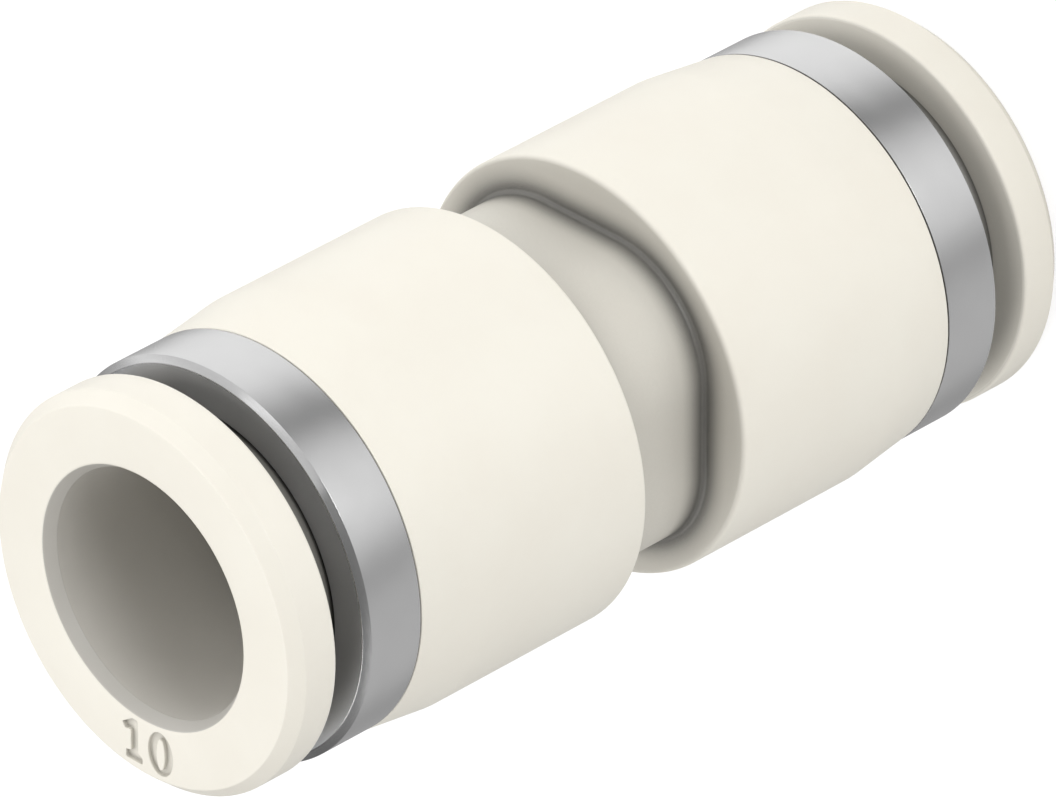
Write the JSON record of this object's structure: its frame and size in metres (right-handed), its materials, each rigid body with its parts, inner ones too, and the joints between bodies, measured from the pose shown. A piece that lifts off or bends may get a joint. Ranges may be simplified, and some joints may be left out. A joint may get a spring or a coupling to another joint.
{
  "type": "push-in fitting",
  "caption": "Straight push-in connector that joins two tubes end to end, with a metal collar and a push-to-release ring at each mouth.",
  "frame": {"origin": "centre of the lower release ring's outer face, on the fitting's axis", "axes": "+Z along the fitting's axis towards the upper mouth, X and Y across two flats of the waist"},
  "size_m": [0.0172, 0.0172, 0.0412],
  "materials": {
    "housing_plastic": "fine satin moulding",
    "ring_plastic": "fine satin moulding",
    "collar_steel": "turned satin stainless steel",
    "spring_steel": "stamped stainless spring steel",
    "support_plastic": "plain moulding",
    "seal_rubber": "moulded rubber"
  },
  "bodies": {
    "housing": {"housing": "housing_plastic", "upper_collar": "collar_steel", "lower_collar": "collar_steel", "upper_support_ring": "support_plastic", "lower_support_ring": "support_plastic", "upper_seal": "seal_rubber", "lower_seal": "seal_rubber"},
    "upper_grip": {"upper_grip_ring": "spring_steel"},
    "upper_ring": {"upper_release_ring": "ring_plastic"},
    "lower_grip": {"lower_grip_ring": "spring_steel"},
    "lower_ring": {"lower_release_ring": "ring_plastic"}
  },
  "joints": [
    {"name": "upper_ring_turn", "type": "hinge", "parent": "housing", "child": "upper_grip", "pos_m": [0, 0, 0.03287], "axis": [0, 0, 1], "continuous": true},
    {"name": "upper_ring_push", "type": "slide", "parent": "upper_grip", "child": "upper_ring", "axis": [0, 0, -1], "range_m": [0, 0.0014], "stiffness_N_per_m": 500, "springref_m": -0.002},
    {"name": "lower_ring_turn", "type": "hinge", "parent": "housing", "child": "lower_grip", "pos_m": [0, 0, 0.0083], "axis": [0, 0, 1], "continuous": true},
    {"name": "lower_ring_push", "type": "slide", "parent": "lower_grip", "child": "lower_ring", "axis": [0, 0, 1], "range_m": [0, 0.0014], "stiffness_N_per_m": 500, "springref_m": -0.002}
  ]
}
